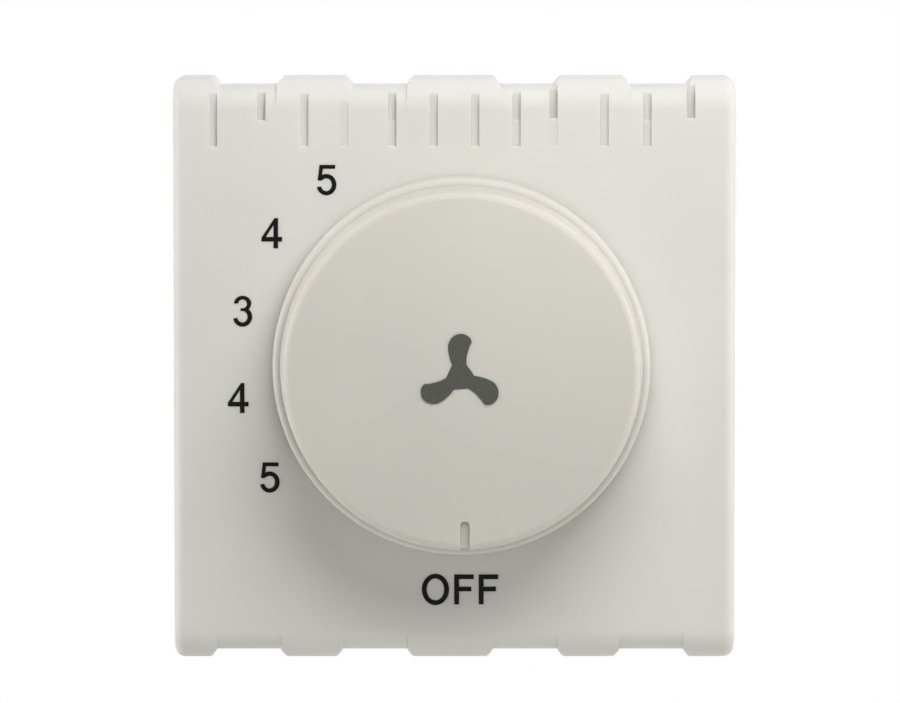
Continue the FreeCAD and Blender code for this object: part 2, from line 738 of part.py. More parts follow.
def make_switch_base():
    """The moulded cup that holds the contacts, with two pegs that locate it on the board."""
    body = new_body("switch_base", ON_KNOB_AXIS)
    pad(body, draw_switch_square(body, "block", BASE_FRONT), f"{BOARD_FRONT} - {BASE_FRONT}", 1)
    round_switch_corners(body)
    cavity = new_sketch(body, "cavity", "XZ_Plane", BASE_FRONT)
    circle(cavity, ("0", "0"), "cavity_radius")
    pocket(body, cavity, f"{FLOOR} - {BASE_FRONT}", 1)
    holes = new_sketch(body, "holes", "XZ_Plane", BASE_FRONT)
    circle(holes, ("0", "0"), "journal_radius + fit_clearance")
    draw_rivet_holes(holes)
    for place in stem_places():
        circle(holes, place, "stem_radius + fit_clearance")
    pocket(body, holes, None, 1)
    pegs = new_sketch(body, "pegs", "XZ_Plane", BOARD_FRONT)
    circle(pegs, (RIVET_PLACE, f"-{RIVET_PLACE}"), "rivet_radius")
    circle(pegs, (f"-{RIVET_PLACE}", RIVET_PLACE), "rivet_radius")
    pad(body, pegs, "board_thickness", 1)


def make_switch_cover():
    """The cover plate with the bush that carries the spindle through the front plate."""
    body = new_body("switch_cover", ON_KNOB_AXIS)
    pad(body, draw_switch_square(body, "plate", COVER_FRONT), "cover_thickness", 1)
    round_switch_corners(body)
    bush = new_sketch(body, "bush", "XZ_Plane", COVER_FRONT)
    circle(bush, ("0", "0"), "bush_radius")
    pad(body, bush, f"plate_depth + {COVER_FRONT}", -1)
    holes = new_sketch(body, "holes", "XZ_Plane", BASE_FRONT)
    circle(holes, ("0", "0"), "spindle_radius + fit_clearance")
    draw_rivet_holes(holes)
    pocket(body, holes, None, -1)


def make_switch_rivet(label, sign):
    """A rivet with a set head at each end, through the cover and the base."""
    place = f"{sign}{RIVET_PLACE}"
    body = new_body(label, (f"knob_offset + {place}", "0", f"knob_raise + {place}"))
    front_head = new_sketch(body, "front_head", "XZ_Plane", COVER_FRONT)
    circle(front_head, ("0", "0"), "rivet_head_radius")
    pad(body, front_head, "rivet_head", -1)
    shank = new_sketch(body, "shank", "XZ_Plane", COVER_FRONT)
    circle(shank, ("0", "0"), "rivet_radius")
    pad(body, shank, f"{BOARD_FRONT} - {COVER_FRONT}", 1)
    rear_head = new_sketch(body, "rear_head", "XZ_Plane", BOARD_FRONT)
    circle(rear_head, ("0", "0"), "rivet_head_radius")
    pad(body, rear_head, "rivet_head", 1)


def add_stem(body, place):
    """A contact's stem through the switch base and the board, soldered flush behind it."""
    stem = new_sketch(body, "stem", "XZ_Plane", FLOOR)
    circle(stem, place, "stem_radius")
    pad(body, stem, f"{BOARD_REAR} - {FLOOR}", 1)


def make_common_contact():
    """The ring track that the wiper always touches."""
    body = new_body("common_contact", ON_KNOB_AXIS)
    track = new_sketch(body, "track", "XZ_Plane", CONTACT_FRONT)
    circle(track, ("0", "0"), "track_radius + track_width / 2")
    circle(track, ("0", "0"), "track_radius - track_width / 2")
    pad(body, track, "contact_height", 1)
    add_stem(body, ("0", "track_radius"))


def make_speed_contact(speed, angle):
    """A rivet-like stud at one speed's place on the contact circle."""
    across, up = on_circle("contact_circle", angle)
    body = new_body(f"speed_contact_{speed}", (f"knob_offset + ({across})", "0", f"knob_raise + ({up})"))
    stud = new_sketch(body, "stud", "XZ_Plane", CONTACT_FRONT)
    circle(stud, ("0", "0"), "contact_radius")
    pad(body, stud, "contact_height", 1)
    add_stem(body, ("0", "0"))


# Circuit board and what is soldered to it

def make_circuit_board():
    """The board, drilled for every lead, stem, peg and rivet head that passes through it."""
    body = new_body("circuit_board")
    board = new_sketch(body, "outline", "XZ_Plane", BOARD_FRONT)
    centred_rectangle(board, BOARD_X, BOARD_Z)
    pad(body, board, "board_thickness", 1)
    holes = new_sketch(body, "holes", "XZ_Plane", BOARD_FRONT)
    for across, up in stem_places():
        place = (f"knob_offset + ({across})", f"knob_raise + ({up})")
        circle(holes, place, "stem_radius + fit_clearance")
    for x_sign, z_sign in (("", "-"), ("-", "")):
        place = (f"knob_offset + {x_sign}{RIVET_PLACE}", f"knob_raise + {z_sign}{RIVET_PLACE}")
        circle(holes, place, "rivet_radius + fit_clearance")
    for sign in ("", "-"):
        place = (f"knob_offset + {sign}{RIVET_PLACE}", f"knob_raise + {sign}{RIVET_PLACE}")
        circle(holes, place, "rivet_head_radius + slip")
        circle(holes, (f"{sign}{TERMINAL_X}", LEAD_Z), "terminal_lead_radius + fit_clearance")
    for place in component_leads():
        circle(holes, place, "lead_radius + fit_clearance")
    pocket(body, holes, None, 1)


def component_leads():
    """Where the leads of the capacitors and resistors pass through the board."""
    places = []
    for sign in ("", "-"):
        places.append((f"{sign}{CAPACITOR_LEAD_X}", f"({UPPER_FOOT_Z} + {UPPER_TOP_Z}) / 2"))
        places.append((f"{sign}{CAPACITOR_LEAD_X}", f"({LOWER_FOOT_Z} + {LOWER_TOP_Z}) / 2"))
        places.append((f"{sign}surge_pitch / 2", TERMINAL_Z))
        for end in ("-", "+"):
            places.append((f"{sign}{RESISTOR_X} {end} resistor_pitch / 2", RESISTOR_Z))
    return places


def make_capacitor(label, foot_z, top_z):
    """A film capacitor in a moulded box, standing on the back of the board."""
    body = new_body(label, ("0", "0", f"({foot_z} + {top_z}) / 2"))
    case = new_sketch(body, "case", "XZ_Plane", BOARD_REAR)
    centred_rectangle(case, CAPACITOR_X, f"(({top_z} - {foot_z}) / 2)")
    pad(body, case, "capacitor_height", 1)
    rear = f"{BOARD_REAR} + capacitor_height"
    dress_edges(body, "Fillet", lambda edge: lies_at(edge, "Y", rear), "capacitor_round")
    leads = new_sketch(body, "leads", "XZ_Plane", BOARD_REAR)
    for sign in ("", "-"):
        circle(leads, (f"{sign}{CAPACITOR_LEAD_X}", "0"), "lead_radius")
    pad(body, leads, "board_thickness + tail_length", -1)


def draw_bent_wire(sketch, half_pitch, foot, level, bend):
    """The line of a wire that rises from the board, runs along X and goes down again by round bends."""
    low = f"({level} - {bend})"
    runs = [((f"-{half_pitch}", foot), (f"-{half_pitch}", low))]
    runs.append(((f"{bend} - {half_pitch}", level), (f"{half_pitch} - {bend}", level)))
    runs.append(((half_pitch, low), (half_pitch, foot)))
    for start, end in runs:
        sketch.addGeometry(Part.LineSegment(point_at(start), point_at(end)), False)
    for index, (start, end) in enumerate(runs):
        pin_point(sketch, index, 1, start)
        pin_point(sketch, index, 2, end)
    for index, (side, turn) in enumerate((("-", 0.5), ("", 0.0))):
        centre = (f"{side}({half_pitch} - {bend})", low)
        corner = Part.Circle(point_at(centre), Vector(0, 0, 1), number(bend))
        arc = sketch.GeometryCount
        sketch.addGeometry(Part.ArcOfCircle(corner, turn * math.pi, (turn + 0.5) * math.pi), False)
        sketch.addConstraint(Sketcher.Constraint("Coincident", arc, 2, index, 2))
        sketch.addConstraint(Sketcher.Constraint("Coincident", arc, 1, index + 1, 1))
        set_size(sketch, Sketcher.Constraint("Radius", arc, number(bend)), bend)


def make_resistor(label, place, kind):
    """An axial resistor lying along X, its wire bent round at both ends into the board."""
    radius = f"{kind}_radius"
    pitch = f"{kind}_pitch"
    level = f"({BOARD_REAR} + resistor_standoff + {radius})"
    foot = f"({BOARD_FRONT} - tail_length)"
    body = new_body(label, place)
    barrel = new_sketch(body, "barrel", "YZ_Plane")
    circle(barrel, (level, "0"), radius)
    pad(body, barrel, f"{kind}_length", 0)
    dress_edges(body, "Fillet", lambda edge: is_ring(edge, radius), "resistor_round")
    route = new_sketch(body, "route", "XY_Plane")
    draw_bent_wire(route, f"({pitch} / 2)", foot, level, "wire_bend")
    section = new_sketch(body, "section", "XZ_Plane", foot)
    circle(section, (f"-{pitch} / 2", "0"), "lead_radius")
    doc.recompute()
    wire = add_feature(body, "AdditivePipe", section, "wire")
    wire.Spine = (route, [f"Edge{index}" for index in range(1, len(route.Shape.Edges) + 1)])


# Wire terminals

def make_terminal(label, sign):
    """A brass block with a wire bore from below and a clamping screw from behind."""
    body = new_body(label, (f"{sign}{TERMINAL_X}", "0", TERMINAL_Z))
    block = new_sketch(body, "block", "XZ_Plane", BLOCK_FRONT)
    centred_rectangle(block, "(terminal_side / 2)", "(terminal_side / 2)")
    pad(body, block, "terminal_side", 1)
    wire = new_sketch(body, "wire", "XY_Plane")
    circle(wire, ("0", WIRE_LEVEL), "wire_radius")
    pocket(body, wire, None, 0)
    thread = new_sketch(body, "thread", "XZ_Plane", BLOCK_REAR)
    circle(thread, ("0", "0"), "screw_radius + fit_clearance")
    pocket(body, thread, f"{BLOCK_REAR} - {WIRE_LEVEL}", -1)


def make_terminal_screw(label, sign):
    """A slotted cheese-head screw, backed off so that its tip just clears the wire bore."""
    body = new_body(label, (f"{sign}{TERMINAL_X}", "0", TERMINAL_Z))
    head = new_sketch(body, "head", "XZ_Plane", HEAD_FRONT)
    circle(head, ("0", "0"), "screw_head_radius")
    pad(body, head, "screw_head", 1)
    shank = new_sketch(body, "shank", "XZ_Plane", HEAD_FRONT)
    circle(shank, ("0", "0"), "screw_radius")
    pad(body, shank, f"{HEAD_FRONT} - {SCREW_TIP}", -1)
    slot = new_sketch(body, "slot", "XZ_Plane", HEAD_REAR)
    centred_rectangle(slot, "(screw_head_radius + slip)", "(slot_width / 2)")
    pocket(body, slot, "slot_depth", -1)


def make_terminal_lead(label, sign):
    """The pin that joins a terminal block to the board, with a broad foot on the block."""
    body = new_body(label, (f"{sign}{TERMINAL_X}", "0", LEAD_Z))
    pin = new_sketch(body, "pin", "XZ_Plane", BLOCK_FRONT)
    circle(pin, ("0", "0"), "terminal_lead_radius")
    pad(body, pin, f"{BLOCK_FRONT} - {BOARD_FRONT} + tail_length", -1)
    foot = new_sketch(body, "foot", "XZ_Plane", BLOCK_FRONT)
    circle(foot, ("0", "0"), "lead_foot_radius")
    pad(body, foot, "lead_foot", -1)


# Rear housing

def make_rear_housing():
    """The moulded cup that plugs into the plate: columns, terminal chambers, snaps and latches."""
    body = new_body("rear_housing")
    shell = new_sketch(body, "shell", "XZ_Plane", "-insert_depth")
    centred_rectangle(shell, HOUSING_X, HOUSING_Z)
    pad(body, shell, f"insert_depth + {HOUSING_REAR}", 1)
    round_housing(body)
    cavity = new_sketch(body, "cavity", "XZ_Plane", "-insert_depth")
    centred_rectangle(cavity, INSIDE_X, INSIDE_Z)
    pocket(body, cavity, f"insert_depth + {BACK_INSIDE}", 1)
    add_columns(body)
    add_chambers(body)
    open_terminals(body)
    cut_latch_slits(body)
    for side in ("left", "right"):
        add_latches(body, side)
    add_snaps(body)


def round_housing(body):
    def is_corner(edge):
        box = edge.BoundBox
        return box.YLength > CLOSE and box.XLength < CLOSE and box.ZLength < CLOSE

    dress_edges(body, "Fillet", is_corner, "housing_corner")
    dress_edges(body, "Fillet", lambda edge: lies_at(edge, "Y", HOUSING_REAR), "back_round")


def add_columns(body):
    """Four corner columns that the back of the board rests on."""
    columns = new_sketch(body, "columns", "XZ_Plane", BACK_INSIDE)
    for x_sign in ("1", "-1"):
        for z_sign in ("1", "-1"):
            near_x = f"{x_sign} * ({INSIDE_X} - column_width)"
            far_x = f"{x_sign} * ({INSIDE_X} + slip)"
            near_z = f"{z_sign} * ({INSIDE_Z} - column_height)"
            far_z = f"{z_sign} * ({INSIDE_Z} + slip)"
            rectangle(columns, near_x, far_x, near_z, far_z)
    pad(body, columns, f"{BACK_INSIDE} - {BOARD_REAR} - fit_clearance", -1)


def add_chambers(body):
    """Two walls beside each terminal block and the tube that guides its screw."""
    walls = new_sketch(body, "chamber_walls", "XZ_Plane", BACK_INSIDE)
    half = "(terminal_side / 2 + slip)"
    for sign in ("1", "-1"):
        for near, far in ((f"-{half} - chamber_wall", f"-{half}"), (half, f"{half} + chamber_wall")):
            left = f"{sign} * {TERMINAL_X} + {near}"
            right = f"{sign} * {TERMINAL_X} + {far}"
            rectangle(walls, left, right, f"-{INSIDE_Z} - slip", f"{TERMINAL_Z} + terminal_side / 2")
    pad(body, walls, "chamber_reach", -1)
    guides = new_sketch(body, "screw_guides", "XZ_Plane", BACK_INSIDE)
    for sign in ("", "-"):
        circle(guides, (f"{sign}{TERMINAL_X}", TERMINAL_Z), "screw_head_radius + running_gap + guide_wall")
    pad(body, guides, "guide_length - fit_clearance", -1)


def open_terminals(body):
    """Screw holes through the back and chamfered wire entries through the bottom wall."""
    screws = new_sketch(body, "screw_holes", "XZ_Plane", HOUSING_REAR)
    for sign in ("", "-"):
        circle(screws, (f"{sign}{TERMINAL_X}", TERMINAL_Z), "screw_head_radius + running_gap")
    pocket(body, screws, None, -1)
    entries = new_sketch(body, "wire_entries", "XY_Plane", TERMINAL_Z)
    for sign in ("", "-"):
        circle(entries, (f"{sign}{TERMINAL_X}", WIRE_LEVEL), "wire_entry_radius")
    pocket(body, entries, None, -1)

    def is_mouth(edge):
        return is_ring(edge, "wire_entry_radius") and lies_at(edge, "Z", f"-{HOUSING_Z}")

    dress_edges(body, "Chamfer", is_mouth, "wire_entry_chamfer")


def cut_latch_slits(body):
    """A U-shaped slit round each latch tongue, through the top and bottom walls."""
    slits = new_sketch(body, "latch_slits", "XY_Plane")
    for sign in ("", "-"):
        inner = "(latch_width / 2)"
        outer = "(latch_width / 2 + latch_slit)"
        near = "(latch_start - latch_slit)"
        tongue = "(latch_start - slip)"
        root = f"({near} + tongue_length)"
        middle = f"{sign}{MODULE_X}"
        corners = [(f"{middle} - {outer}", near), (f"{middle} + {outer}", near)]
        corners += [(f"{middle} + {outer}", root), (f"{middle} + {inner}", root)]
        corners += [(f"{middle} + {inner}", tongue)]
        corners += [(f"{middle} - {inner}", tongue), (f"{middle} - {inner}", root)]
        polygon(slits, corners + [(f"{middle} - {outer}", root)])
    pocket(body, slits, None, 0)


def add_latches(body, side):
    """The ramped noses that spring out behind the wall frame, above and below."""
    middle = MODULE_X if side == "right" else f"-{MODULE_X}"
    noses = new_sketch(body, f"{side}_latches", "YZ_Plane", middle)
    land_end = "(latch_start + latch_land)"
    ramp_end = f"({land_end} + latch_ramp)"
    for sign in ("1", "-1"):
        inside = f"{sign} * ({HOUSING_Z} - housing_wall / 2)"
        surface = f"{sign} * {HOUSING_Z}"
        crest = f"{sign} * ({HOUSING_Z} + latch_rise)"
        corners = [("latch_start", inside), ("latch_start", crest), (land_end, crest)]
        polygon(noses, corners + [(ramp_end, surface), (ramp_end, inside)])
    pad(body, noses, "latch_width", 0)


def add_snaps(body):
    """The low ridges that click into the plate's side walls."""
    snaps = new_sketch(body, "snaps", "XY_Plane")
    for sign in ("1", "-1"):
        inside = f"{sign} * ({HOUSING_X} - housing_wall / 2)"
        surface = f"{sign} * {HOUSING_X}"
        crest = f"{sign} * ({HOUSING_X} + snap_rise)"
        front = "(-snap_place - snap_half)"
        rear = "(snap_half - snap_place)"
        corners = [(inside, front), (surface, front), (crest, "-snap_place"), (crest, rear), (inside, rear)]
        polygon(snaps, corners)
    pad(body, snaps, "snap_length", 0)


# The whole control

def make_pieces():
    make_front_plate()
    make_rear_housing()
    make_knob()
    make_knob_grip_ring()
    make_spindle()
    make_rotor()
    make_wiper()
    make_detent_spring()
    make_switch_base()
    make_switch_cover()
    make_switch_rivet("upper_switch_rivet", "")
    make_switch_rivet("lower_switch_rivet", "-")
    make_common_contact()
    for speed, angle in enumerate(SPEED_ANGLES, start=1):
        make_speed_contact(speed, angle)
    make_circuit_board()
    make_capacitor("upper_capacitor", UPPER_FOOT_Z, UPPER_TOP_Z)
    make_capacitor("lower_capacitor", LOWER_FOOT_Z, LOWER_TOP_Z)
    for side, sign in (("left", "-"), ("right", "")):
        place = (f"{sign}{RESISTOR_X}", "0", RESISTOR_Z)
        make_resistor(f"bleed_resistor_{side}", place, "resistor")
    make_resistor("surge_resistor", ("0", "0", TERMINAL_Z), "surge")
    for wire, sign in (("line", "-"), ("load", "")):
        make_terminal(f"{wire}_terminal", sign)
        make_terminal_screw(f"{wire}_terminal_screw", sign)
        make_terminal_lead(f"{wire}_lead", sign)


def check_pieces():
    """Stop if any object failed or any piece is not one sound solid."""
    for item in doc.Objects:
        if "Invalid" in item.State or "Error" in item.State:
            raise ValueError(f"{item.Label} failed: {item.State}")
    for piece in pieces:
        if piece.Shape.isNull() or not piece.Shape.isValid() or len(piece.Shape.Solids) != 1:
            raise ValueError(f"{piece.Label} is not one sound solid")


fill_sheet()
make_pieces()
doc.recompute()
check_pieces()
os.makedirs("parts", exist_ok=True)
for piece in pieces:
    piece.Shape.exportStep(f"parts/{piece.Label}.step")
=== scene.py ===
"""Looks of a two-module rotary fan speed control: its finishes, printed marks, studio and camera."""
import json
import math

import bpy
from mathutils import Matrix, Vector


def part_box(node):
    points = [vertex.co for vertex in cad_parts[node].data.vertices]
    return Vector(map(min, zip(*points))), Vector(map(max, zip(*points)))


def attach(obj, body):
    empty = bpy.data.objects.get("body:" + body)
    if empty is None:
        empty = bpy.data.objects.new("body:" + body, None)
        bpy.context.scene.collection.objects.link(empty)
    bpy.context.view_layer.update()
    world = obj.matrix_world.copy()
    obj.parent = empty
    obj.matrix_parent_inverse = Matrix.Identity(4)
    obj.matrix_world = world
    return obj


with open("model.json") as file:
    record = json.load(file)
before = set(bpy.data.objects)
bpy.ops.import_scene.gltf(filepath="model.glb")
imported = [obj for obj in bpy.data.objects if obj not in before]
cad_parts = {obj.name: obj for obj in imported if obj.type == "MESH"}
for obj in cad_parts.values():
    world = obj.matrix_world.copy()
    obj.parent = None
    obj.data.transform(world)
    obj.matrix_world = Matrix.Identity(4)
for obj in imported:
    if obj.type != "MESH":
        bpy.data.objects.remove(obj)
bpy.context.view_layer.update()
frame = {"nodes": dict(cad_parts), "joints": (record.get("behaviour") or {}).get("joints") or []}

MM = 0.001

# Where the printed marks sit, read from the frame
knob_turn = next(joint for joint in frame["joints"] if joint["name"] == "knob_turn")
KNOB_AXIS_X, _, KNOB_AXIS_Z = knob_turn["pos_m"]
PLATE_FACE_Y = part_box("front_plate")[0].y
KNOB_FACE_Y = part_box("knob")[0].y

# Printed marks, in millimetres
PRINT_THICKNESS = 0.02
SIGN_SINK = 0.1
DIGIT_HEIGHT = 2.36
# Each speed's figure: its angle clockwise from six o'clock and its distance from the knob's axis
SPEED_MARKS = {
    "mark_speed_1": ("five", 59.1, 17.5),
    "mark_speed_2": ("four", 81.1, 17.7),
    "mark_speed_3": ("three", 103.4, 17.6),
    "mark_speed_4": ("four", 124.5, 18.0),
    "mark_speed_5": ("five", 143.7, 17.8),
}
OFF_DISTANCE = 17.8
OFF_ASIDE = -0.11
LETTER_GAP = 0.4
ARC_STEPS = 28

# The fan sign: one blade's edge from its right root round to its left root, and the hub beyond it
FAN_BLADE = [
    (0.48, 0.96), (0.51, 1.55), (0.74, 2.35), (0.88, 2.72), (0.37, 3.25),
    (-0.37, 3.20), (-0.85, 2.66), (-0.92, 2.19), (-0.77, 1.33), (-0.62, 0.90),
]
FAN_BLADES = 3
FAN_HUB_RADIUS = 0.95
FAN_HUB_ANGLE = 153
FAN_DROP = 0.34
FAN_ASIDE = -0.12

# Sizes of the hidden parts' finishes, in millimetres
RESISTOR_BODY = 6.5
SURGE_BODY = 8.5
SCREW_PITCH = 0.5
SCREW_HEAD = 2.0
THREAD_DEPTH = 0.15
BAND_WIDTH = 0.75
BAND_PLACES = {"#6B3A1E": -2.0, "#1D1A18": -0.8, "#C9A227": 0.4, "#8C6B1F": 1.9}
# Where a resistor's wire begins, against the radius of its body
WIRE_START = 1.02
# How high a screw's tool rings are, against its thread
RING_SHARE = 0.03

# White plastic: refraction, the share of light that enters it and how deep, in millimetres and by colour
PLASTIC_IOR = 1.58
SCATTER_SHARE = 0.6
SCATTER_DEPTH = 0.7
SCATTER_BY_COLOUR = (1.0, 0.9, 0.75)
# How many times larger the grain is across than it is deep
GRAIN_PER_DEPTH = 150
EDGE_SAMPLES = 6

# The part of a noise's range that holds most of its values
NOISE_LOW = 0.3
NOISE_HIGH = 0.7

# Light tent: how bright each wall is, from the negative to the positive side of its axis, and how narrow
TENT = {"X": (5.6, 4.5), "Y": (0.0, 3.0), "Z": (0.2, 0.4)}
TENT_FOCUS = 12.0
# The lamp in front, above and a little to the right: place in metres, width in metres, power in watts
LAMP_PLACE = (0.027, -0.106, 0.103)
LAMP_WIDTH = 0.12
LAMP_POWER = 0.213

# Camera and floor, in millimetres and degrees
CAMERA_DISTANCE = 500.0
CAMERA_ELEVATION = 4.0
AIM_ASIDE = -0.345
AIM_UP = 1.4
LENS_PER_DISTANCE = 0.5109
SENSOR_WIDTH = 36.0
NEAREST_SEEN = 10.0
FLOOR_LEVEL = -45.0
FLOOR_RADIUS = 120.0
FLOOR_CORNERS = 96
FLOOR_GLOW = 0.32
WAVE_PERIOD = math.tau / 20


# Colours and nodes

def linear(hex_colour):
    """An sRGB hex colour as linear red, green, blue and alpha."""
    channels = [int(hex_colour[i:i + 2], 16) / 255 for i in (1, 3, 5)]
    return [c / 12.92 if c <= 0.04045 else ((c + 0.055) / 1.055) ** 2.4 for c in channels] + [1.0]


def per_metre(size_mm):
    """The texture scale at which one feature of a pattern has that size."""
    return 1 / (size_mm * MM)


def add_node(tree, kind, inputs=None, **settings):
    """Add a node, set its properties, and fill its sockets with values or links."""
    made = tree.nodes.new(kind)
    for name, value in settings.items():
        setattr(made, name, value)
    for socket, value in (inputs or {}).items():
        if isinstance(value, bpy.types.NodeSocket):
            tree.links.new(value, made.inputs[socket])
        else:
            made.inputs[socket].default_value = value
    return made


def compute(tree, operation, first, second=0.0):
    """One sum on two values or links."""
    return add_node(tree, "ShaderNodeMath", {0: first, 1: second}, operation=operation).outputs[0]


def new_finish(name):
    """A material with its node tree, its shader and its coordinates in metres."""
    material = bpy.data.materials.new(name)
    material.use_nodes = True
    tree = material.node_tree
    shader = tree.nodes["Principled BSDF"]
    place = add_node(tree, "ShaderNodeTexCoord").outputs["Object"]
    return material, tree, shader, place


def vary(tree, place, size_mm, low, high, detail=2.0):
    """A cloudy value between two limits, with patches of a given size."""
    cloud = add_node(tree, "ShaderNodeTexNoise",
                     {"Vector": place, "Scale": per_metre(size_mm), "Detail": detail})
    spread = {"From Min": NOISE_LOW, "From Max": NOISE_HIGH, "To Min": low, "To Max": high}
    return add_node(tree, "ShaderNodeMapRange", {"Value": cloud.outputs["Fac"], **spread}).outputs["Result"]


def mix_colours(tree, share, first, second):
    """A colour between two, each a hex value or a link."""
    colours = {6: first, 7: second}
    sockets = {key: linear(value) if isinstance(value, str) else value for key, value in colours.items()}
    return add_node(tree, "ShaderNodeMix", {"Factor": share, **sockets}, data_type="RGBA").outputs[2]


def two_tone(tree, place, size_mm, dark, light, detail=2.0):
    """A colour that drifts between two hex values in patches of a given size."""
    return mix_colours(tree, vary(tree, place, size_mm, 0.0, 1.0, detail), dark, light)


def stripes(tree, place, axis, pitch_mm, waver):
    """A wave that repeats along one axis, with some waver."""
    settings = {"Vector": place, "Scale": WAVE_PERIOD * per_metre(pitch_mm), "Distortion": waver}
    return add_node(tree, "ShaderNodeTexWave", settings, bands_direction=axis).outputs["Fac"]


def raise_relief(tree, shader, height, depth_mm, under=None):
    """Press a height pattern into the surface."""
    inputs = {"Height": height, "Strength": 1.0, "Distance": depth_mm * MM}
    if under is not None:
        inputs["Normal"] = under
    bump = add_node(tree, "ShaderNodeBump", inputs)
    tree.links.new(bump.outputs["Normal"], shader.inputs["Normal"])


def seen_share(tree):
    """One for what is seen, straight, in a reflection or through glass, and none for what only lights."""
    path = add_node(tree, "ShaderNodeLightPath")
    seen = path.outputs["Is Camera Ray"]
    for kind in ("Is Glossy Ray", "Is Transmission Ray"):
        seen = compute(tree, "MAXIMUM", seen, path.outputs[kind])
    return seen


def along(tree, place, axis, start):
    """Distance along one axis from a level in metres."""
    parts = add_node(tree, "ShaderNodeSeparateXYZ", {"Vector": place})
    return compute(tree, "SUBTRACT", parts.outputs[axis], start)


# Plastics

def moulded_polycarbonate(name, dark, light, grain_mm, edge_mm):
    """Injection-moulded polycarbonate: a satin skin with a fine sparked grain and softly broken edges."""
    material, tree, shader, place = new_finish(name)
    tree.links.new(two_tone(tree, place, 14.0, dark, light), shader.inputs["Base Color"])
    tree.links.new(vary(tree, place, 2.0, 0.36, 0.44), shader.inputs["Roughness"])
    soft_edge = add_node(tree, "ShaderNodeBevel", {"Radius": edge_mm * MM}, samples=EDGE_SAMPLES)
    grain = vary(tree, place, grain_mm, 0.0, 1.0)
    raise_relief(tree, shader, grain, grain_mm / GRAIN_PER_DEPTH, soft_edge.outputs["Normal"])
    shader.inputs["IOR"].default_value = PLASTIC_IOR
    shader.inputs["Subsurface Weight"].default_value = SCATTER_SHARE
    shader.inputs["Subsurface Radius"].default_value = SCATTER_BY_COLOUR
    shader.inputs["Subsurface Scale"].default_value = SCATTER_DEPTH * MM
    return material


def moulded_acetal(name):
    """Natural acetal: a waxy white that takes a little light in."""
    material, tree, shader, place = new_finish(name)
    tree.links.new(two_tone(tree, place, 5.0, "#E2E1DA", "#ECEBE5"), shader.inputs["Base Color"])
    tree.links.new(vary(tree, place, 1.2, 0.28, 0.38), shader.inputs["Roughness"])
    shader.inputs["Subsurface Weight"].default_value = 0.2
    shader.inputs["Subsurface Scale"].default_value = 0.8 * MM
    shader.inputs["IOR"].default_value = 1.48
    return material


def moulded_phenolic(name):
    """Phenolic moulding: dark brown, mottled by its wood-flour filler, half dull."""
    material, tree, shader, place = new_finish(name)
    tree.links.new(two_tone(tree, place, 0.9, "#231711", "#3A271C", 6.0), shader.inputs["Base Color"])
    tree.links.new(vary(tree, place, 0.5, 0.4, 0.58), shader.inputs["Roughness"])
    raise_relief(tree, shader, vary(tree, place, 0.15, 0.0, 1.0), 0.003)
    return material


def paper_laminate(name):
    """Paper laminate: a tan sheet with short drawn-out fibres under a dull resin."""
    material, tree, shader, place = new_finish(name)
    stretch = {"Vector": place, "Scale": (0.25, 1.0, 1.0)}
    drawn = add_node(tree, "ShaderNodeMapping", stretch).outputs["Vector"]
    tree.links.new(two_tone(tree, drawn, 0.3, "#8A6334", "#A97F48", 5.0), shader.inputs["Base Color"])
    tree.links.new(vary(tree, drawn, 0.4, 0.45, 0.6), shader.inputs["Roughness"])
    return material


def moulded_case(name):
    """Capacitor case: dark blue plastic with a gloss that ripples like orange peel."""
    material, tree, shader, place = new_finish(name)
    tree.links.new(two_tone(tree, place, 6.0, "#1A2D5E", "#203669"), shader.inputs["Base Color"])
    tree.links.new(vary(tree, place, 1.5, 0.2, 0.3), shader.inputs["Roughness"])
    raise_relief(tree, shader, vary(tree, place, 0.7, 0.0, 1.0), 0.004)
    return material


def lacquered_resistor(name, node, body_mm, tones, bands):
    """Lacquered body with colour bands between two tinned wires, told apart by distance from its axis."""
    material, tree, shader, place = new_finish(name)
    low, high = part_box(node)
    radius = (high.z - low.z) / 2
    middle = ((low.x + high.x) / 2, high.y - radius, (low.z + high.z) / 2)
    across = along(tree, place, "X", middle[0])
    colour = two_tone(tree, place, 1.5, *tones)
    for band, at_mm in bands.items():
        apart = compute(tree, "ABSOLUTE", compute(tree, "SUBTRACT", across, at_mm * MM))
        inside = compute(tree, "LESS_THAN", apart, BAND_WIDTH * MM / 2)
        colour = mix_colours(tree, inside, colour, band)
    beyond = compute(tree, "GREATER_THAN", compute(tree, "ABSOLUTE", across), body_mm * MM / 2)
    below = compute(tree, "LESS_THAN", along(tree, place, "Y", middle[1]), -WIRE_START * radius)
    wire = compute(tree, "MAXIMUM", beyond, below)
    tree.links.new(mix_colours(tree, wire, colour, "#B9B7B0"), shader.inputs["Base Color"])
    tree.links.new(wire, shader.inputs["Metallic"])
    tree.links.new(vary(tree, place, 0.8, 0.22, 0.34), shader.inputs["Roughness"])
    return material


# Metals

def new_metal(name, dark, light, patch_mm, rough):
    """Bare metal in two close tones, with patches that are a little duller."""
    material, tree, shader, place = new_finish(name)
    tree.links.new(two_tone(tree, place, patch_mm, dark, light), shader.inputs["Base Color"])
    tree.links.new(vary(tree, place, patch_mm / 3, rough - 0.06, rough + 0.06), shader.inputs["Roughness"])
    shader.inputs["Metallic"].default_value = 1.0
    return material, tree, shader, place


def turned_brass(name):
    """Turned brass: fine tool rings that draw the highlight out along the spindle."""
    material, tree, shader, place = new_metal(name, "#C2A05A", "#D3B26C", 4.0, 0.26)
    raise_relief(tree, shader, stripes(tree, place, "Y", 0.16, 0.4), 0.004)
    return material


def sawn_brass(name):
    """Brass bar sawn to length: straight saw lines and a duller yellow."""
    material, tree, shader, place = new_metal(name, "#B8954F", "#CDAB64", 3.0, 0.34)
    raise_relief(tree, shader, stripes(tree, place, "DIAGONAL", 0.3, 1.2), 0.006)
    return material


